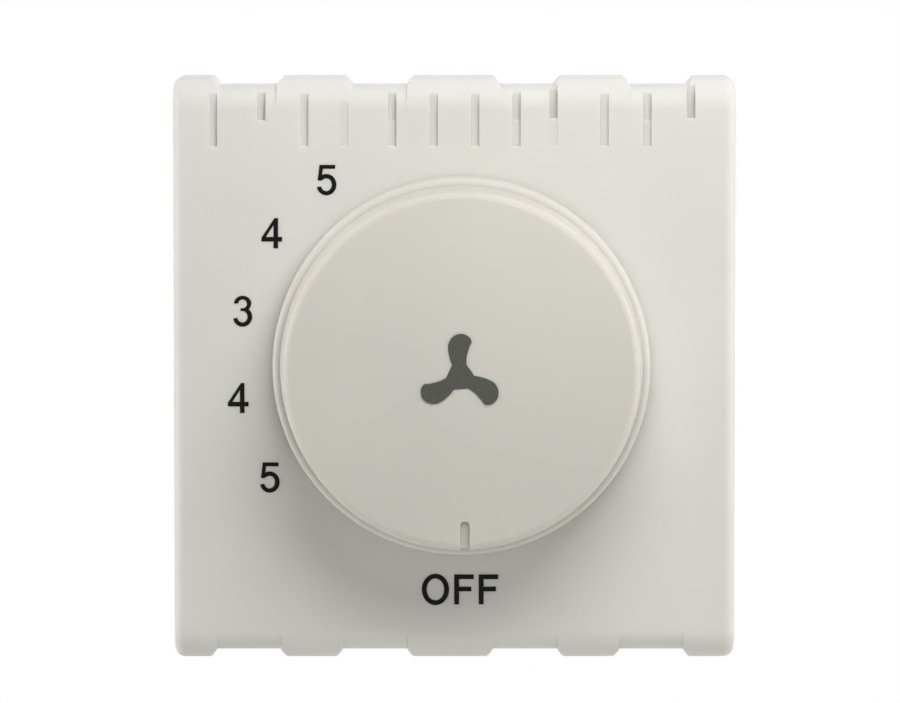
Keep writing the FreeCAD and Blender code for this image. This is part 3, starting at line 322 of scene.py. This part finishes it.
def tinned_brass(name, tin_level):
    """Stamped brass, yellow where it is touched and dipped silver in tin behind the board."""
    material, tree, shader, place = new_metal(name, "#C9A660", "#D6B670", 2.0, 0.3)
    behind = compute(tree, "GREATER_THAN", along(tree, place, "Y", tin_level), 0.0)
    brass = two_tone(tree, place, 2.0, "#C9A660", "#D6B670")
    tree.links.new(mix_colours(tree, behind, brass, "#C4C3BD"), shader.inputs["Base Color"])
    return material


def stamped_bronze(name):
    """Phosphor bronze strip: redder than brass, with fine rolling lines."""
    material, tree, shader, place = new_metal(name, "#B5814F", "#C89460", 2.0, 0.28)
    raise_relief(tree, shader, stripes(tree, place, "X", 0.1, 0.8), 0.002)
    return material


def blued_steel(name):
    """Spring strip tempered blue: dark metal that turns a little purple in patches."""
    material, tree, shader, place = new_metal(name, "#4A4F66", "#5F6480", 1.5, 0.3)
    raise_relief(tree, shader, stripes(tree, place, "X", 0.12, 0.8), 0.002)
    return material


def zinc_plate(name):
    """Zinc-plated sheet: pale grey with a faint blue and straw bloom in broad patches."""
    material, tree, shader, place = new_metal(name, "#A9ADB2", "#BDBBB0", 3.0, 0.34)
    raise_relief(tree, shader, vary(tree, place, 0.2, 0.0, 1.0), 0.002)
    return material


def threaded_zinc(name, node):
    """Turned screw, zinc plated: tool rings on its head and a thread's ridges on its shank."""
    material, tree, shader, place = new_metal(name, "#ABABA4", "#C2C1B8", 1.5, 0.3)
    shank_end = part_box(node)[1].y - SCREW_HEAD * MM
    shank = compute(tree, "LESS_THAN", along(tree, place, "Y", shank_end), 0.0)
    ridge = compute(tree, "MULTIPLY", stripes(tree, place, "Y", SCREW_PITCH, 0.0), shank)
    ring = compute(tree, "MULTIPLY", vary(tree, place, 0.2, 0.0, 1.0), RING_SHARE)
    raise_relief(tree, shader, compute(tree, "ADD", ridge, ring), THREAD_DEPTH)
    return material


def set_aluminium(name):
    """Soft aluminium rivet: white metal with the small dents of its setting."""
    material, tree, shader, place = new_metal(name, "#C4C5C8", "#D2D3D5", 1.0, 0.32)
    raise_relief(tree, shader, vary(tree, place, 0.5, 0.0, 1.0), 0.01)
    return material


# Print and paper

def printed_ink(name, dark, light):
    """Pad-printed ink: a thin dull film that is a little uneven in cover."""
    material, tree, shader, place = new_finish(name)
    tree.links.new(two_tone(tree, place, 0.25, dark, light, 4.0), shader.inputs["Base Color"])
    tree.links.new(vary(tree, place, 0.4, 0.5, 0.62), shader.inputs["Roughness"])
    shader.inputs["Specular IOR Level"].default_value = 0.1
    return material


def matt_paper(name):
    """White studio paper: dull, faintly cloudy, and paler to the eye than the light that it gives back."""
    material, tree, shader, place = new_finish(name)
    tree.links.new(two_tone(tree, place, 30.0, "#EFEFED", "#F5F5F3"), shader.inputs["Base Color"])
    tree.links.new(vary(tree, place, 4.0, 0.75, 0.85), shader.inputs["Roughness"])
    glow = compute(tree, "MULTIPLY", seen_share(tree), FLOOR_GLOW)
    tree.links.new(glow, shader.inputs["Emission Strength"])
    shader.inputs["Emission Color"].default_value = (1, 1, 1, 1)
    return material


def dress(material, *nodes):
    """Give nodes a finish in place of their plain one."""
    for name in nodes:
        slots = frame["nodes"][name].data.materials
        slots.clear()
        slots.append(material)


def dress_plastics():
    plate = moulded_polycarbonate("plate_polycarbonate_satin", "#DAD8D2", "#DEDCD7", 0.18, 0.12)
    dress(plate, "front_plate")
    # The knob is the plate's plastic in a darker colour: painted shade for its face, which takes less light
    # than the plate
    knob = moulded_polycarbonate("knob_polycarbonate_painted_shade", "#CBC8C1", "#CFCCC4", 0.18, 0.08)
    dress(knob, "knob")
    housing = moulded_polycarbonate("housing_polycarbonate_grained", "#D6D3CA", "#DCD9D1", 0.3, 0.2)
    dress(housing, "rear_housing")
    dress(moulded_acetal("rotor_acetal_moulded"), "rotor")
    dress(moulded_phenolic("base_phenolic_moulded"), "switch_base")
    dress(paper_laminate("board_paper_laminate"), "circuit_board")
    dress(moulded_case("capacitor_case_moulded"), "upper_capacitor", "lower_capacitor")
    for side in ("left", "right"):
        node = f"bleed_resistor_{side}"
        tan = ("#C2A477", "#CDB184")
        dress(lacquered_resistor(f"{node}_lacquered", node, RESISTOR_BODY, tan, BAND_PLACES), node)
    green = ("#5F6E69", "#6B7A75")
    dress(lacquered_resistor("surge_lacquered", "surge_resistor", SURGE_BODY, green, {}), "surge_resistor")


def dress_metals():
    dress(turned_brass("spindle_brass_turned"), "spindle")
    dress(sawn_brass("terminal_brass_sawn"), "line_terminal", "load_terminal")
    tin_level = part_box("circuit_board")[0].y
    contacts = [f"speed_contact_{speed}" for speed in range(1, 6)]
    dress(tinned_brass("contact_brass_tinned", tin_level), "common_contact", *contacts)
    dress(sawn_brass("lead_brass_drawn"), "line_lead", "load_lead")
    dress(stamped_bronze("wiper_bronze_stamped"), "wiper")
    dress(blued_steel("spring_steel_blued"), "detent_spring", "knob_grip_ring")
    dress(zinc_plate("cover_steel_zinc_plated"), "switch_cover")
    screw_finish = threaded_zinc("screw_steel_zinc_plated", "line_terminal_screw")
    dress(screw_finish, "line_terminal_screw", "load_terminal_screw")
    dress(set_aluminium("rivet_aluminium_set"), "upper_switch_rivet", "lower_switch_rivet")


# Printed marks: figures and letters are outlines in digit heights

def arc(centre, radii, start, end):
    """Points along an ellipse from one angle to another, in degrees."""
    angles = [math.radians(start + (end - start) * step / ARC_STEPS) for step in range(ARC_STEPS + 1)]
    return [(centre[0] + radii[0] * math.cos(a), centre[1] + radii[1] * math.sin(a)) for a in angles]


def figure_four():
    stem = [(0.4, 0), (0.552, 0), (0.552, 0.222), (0.685, 0.222), (0.685, 0.374), (0.552, 0.374)]
    slope = [(0.552, 1), (0.435, 1), (0, 0.345), (0, 0.222), (0.4, 0.222)]
    return [stem + slope, [(0.4, 0.374), (0.4, 0.765), (0.15, 0.374)]]


def figure_five():
    flag = [(0.605, 1), (0.085, 1), (0.022, 0.485), (0.128, 0.475)]
    inner = arc((0.31, 0.343), (0.18, 0.212), 128, -165)
    outer = arc((0.315, 0.345), (0.33, 0.355), -167, 125)
    return [flag + inner + outer + [(0.17, 0.65), (0.197, 0.872), (0.605, 0.872)]]


def figure_three():
    outer = arc((0.305, 0.755), (0.288, 0.26), 180, -50) + arc((0.305, 0.315), (0.318, 0.33), 52, -170)
    inner = arc((0.30, 0.318), (0.166, 0.192), -170, 90) + [(0.235, 0.51), (0.235, 0.6)]
    inner += arc((0.305, 0.745), (0.145, 0.145), -90, 175)
    return [outer + inner]


def letter_o():
    return [arc((0.455, 0.5), (0.455, 0.527), 0, 360)[:-1], arc((0.455, 0.5), (0.29, 0.366), 0, 360)[:-1]]


def letter_f():
    stem = [(0, 0), (0.162, 0), (0.162, 0.436), (0.57, 0.436), (0.57, 0.591), (0.162, 0.591)]
    return [stem + [(0.162, 0.844), (0.648, 0.844), (0.648, 1), (0, 1)]]


FIGURES = {"three": figure_three, "four": figure_four, "five": figure_five}


def middle_of(outlines):
    across = [x for outline in outlines for x, _ in outline]
    up = [z for outline in outlines for _, z in outline]
    return (min(across) + max(across)) / 2, (min(up) + max(up)) / 2


def new_outline(name, sink=0.0):
    """An empty flat curve that fills to the ink's thickness and to any depth that it sinks into a face."""
    curve = bpy.data.curves.new(name, "CURVE")
    curve.dimensions = "2D"
    curve.fill_mode = "BOTH"
    curve.extrude = (PRINT_THICKNESS + sink) * MM / 2
    return curve


def set_film(curve, place, face_y, body, material):
    """Turn a filled outline into a solid film that stands on a face by the thickness of the ink."""
    name = curve.name
    outline = bpy.data.objects.new(name, curve)
    mesh = bpy.data.meshes.new_from_object(outline)
    mesh.materials.append(material)
    half_depth = curve.extrude
    bpy.data.objects.remove(outline)
    bpy.data.curves.remove(curve)
    film = bpy.data.objects.new(name, mesh)
    bpy.context.scene.collection.objects.link(film)
    film.location = (place[0], face_y - PRINT_THICKNESS * MM + half_depth, place[1])
    film.rotation_euler = (math.pi / 2, 0, 0)
    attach(film, body)


def add_outline(curve, points):
    spline = curve.splines.new("POLY")
    spline.points.add(len(points) - 1)
    for point, (across, up) in zip(spline.points, points):
        point.co = (across, up, 0, 1)
    spline.use_cyclic_u = True


def print_outlines(name, outlines, place, material):
    """Print outlines in digit heights on the plate, with their middle at a place."""
    curve = new_outline(name)
    size = DIGIT_HEIGHT * MM
    middle_x, middle_z = middle_of(outlines)
    for outline in outlines:
        add_outline(curve, [((x - middle_x) * size, (z - middle_z) * size) for x, z in outline])
    set_film(curve, place, PLATE_FACE_Y, "base", material)


def print_speeds(ink):
    for name, (figure, angle, distance) in SPEED_MARKS.items():
        turn = math.radians(angle)
        reach = distance * MM
        place = (KNOB_AXIS_X - reach * math.sin(turn), KNOB_AXIS_Z - reach * math.cos(turn))
        print_outlines(name, FIGURES[figure](), place, ink)


def print_off(ink):
    outlines = []
    start = 0.0
    for letter in (letter_o, letter_f, letter_f):
        shapes = letter()
        outlines += [[(x + start, z) for x, z in shape] for shape in shapes]
        start = max(x for shape in outlines for x, _ in shape) + LETTER_GAP / DIGIT_HEIGHT
    place = (KNOB_AXIS_X + OFF_ASIDE * MM, KNOB_AXIS_Z - OFF_DISTANCE * MM)
    print_outlines("mark_off", outlines, place, ink)


def print_fan_sign(ink):
    """Three paddle blades round a hub, drawn as one smooth outline."""
    curve = new_outline("mark_fan", SIGN_SINK)
    hub_turn = math.radians(FAN_HUB_ANGLE)
    edge = FAN_BLADE + [(FAN_HUB_RADIUS * math.cos(hub_turn), FAN_HUB_RADIUS * math.sin(hub_turn))]
    spline = curve.splines.new("BEZIER")
    spline.bezier_points.add(FAN_BLADES * len(edge) - 1)
    spline.use_cyclic_u = True
    for index, point in enumerate(spline.bezier_points):
        blade, corner = divmod(index, len(edge))
        turn = math.radians(360 / FAN_BLADES * blade)
        across, up = edge[corner]
        x = across * math.cos(turn) - up * math.sin(turn)
        z = across * math.sin(turn) + up * math.cos(turn)
        point.co = (x * MM, z * MM, 0)
        is_root = corner in (0, len(FAN_BLADE) - 1)
        point.handle_left_type = "VECTOR" if is_root else "AUTO"
        point.handle_right_type = "VECTOR" if is_root else "AUTO"
    place = (KNOB_AXIS_X + FAN_ASIDE * MM, KNOB_AXIS_Z - FAN_DROP * MM)
    set_film(curve, place, KNOB_FACE_Y, "knob", ink)


# Studio

def hang_lamp():
    """A round soft lamp that faces the control."""
    data = bpy.data.lights.new("soft_lamp", "AREA")
    data.shape = "DISK"
    data.size = LAMP_WIDTH
    data.energy = LAMP_POWER
    lamp = bpy.data.objects.new("soft_lamp", data)
    lamp.location = LAMP_PLACE
    lamp.visible_camera = False
    lamp.visible_glossy = False
    lamp.rotation_euler = (-Vector(LAMP_PLACE)).to_track_quat("-Z", "Y").to_euler()
    bpy.context.scene.collection.objects.link(lamp)


def make_world():
    """A light tent with walls of unequal brightness, plain white to the camera and in reflections."""
    world = bpy.data.worlds.new("light_tent")
    bpy.context.scene.world = world
    world.use_nodes = True
    tree = world.node_tree
    background = tree.nodes["Background"]
    toward = add_node(tree, "ShaderNodeTexCoord").outputs["Generated"]
    level = 0.0
    for axis, (negative, positive) in TENT.items():
        reach = along(tree, toward, axis, 0.0)
        side = {"Value": compute(tree, "GREATER_THAN", reach, 0.0), "To Min": negative, "To Max": positive}
        wall = add_node(tree, "ShaderNodeMapRange", side).outputs["Result"]
        share = compute(tree, "POWER", compute(tree, "ABSOLUTE", reach), TENT_FOCUS)
        level = compute(tree, "ADD", compute(tree, "MULTIPLY", share, wall), level)
    choice = {"Value": seen_share(tree), "To Min": level, "To Max": 1.0}
    strength = add_node(tree, "ShaderNodeMapRange", choice).outputs["Result"]
    tree.links.new(strength, background.inputs["Strength"])
    background.inputs["Color"].default_value = (1, 1, 1, 1)


def make_floor():
    """A pale disc well below the control, which the front view doesn't reach."""
    bpy.ops.mesh.primitive_circle_add(vertices=FLOOR_CORNERS, radius=FLOOR_RADIUS * MM, fill_type="NGON",
                                      location=(0, 0, FLOOR_LEVEL * MM))
    floor = bpy.context.object
    floor.name = "floor"
    floor.data.materials.append(matt_paper("floor_paper_white"))


def make_camera():
    """Almost square to the plate, from a little above."""
    elevation = math.radians(CAMERA_ELEVATION)
    back = Vector((0, -math.cos(elevation), math.sin(elevation)))
    data = bpy.data.cameras.new("camera")
    data.sensor_width = SENSOR_WIDTH
    data.lens = LENS_PER_DISTANCE * CAMERA_DISTANCE
    data.clip_start = NEAREST_SEEN * MM
    camera = bpy.data.objects.new("camera", data)
    aim = Vector((AIM_ASIDE * MM, PLATE_FACE_Y, AIM_UP * MM))
    camera.location = aim + back * CAMERA_DISTANCE * MM
    camera.rotation_euler = (-back).to_track_quat("-Z", "Y").to_euler()
    bpy.context.scene.collection.objects.link(camera)
    bpy.context.scene.camera = camera


dress_plastics()
dress_metals()
black_ink = printed_ink("ink_black_pad_printed", "#100F0C", "#171612")
print_speeds(black_ink)
print_off(black_ink)
print_fan_sign(printed_ink("ink_grey_pad_printed", "#52524D", "#5A5A55"))
hang_lamp()
make_world()
make_floor()
make_camera()
bpy.context.scene.view_settings.view_transform = "Standard"
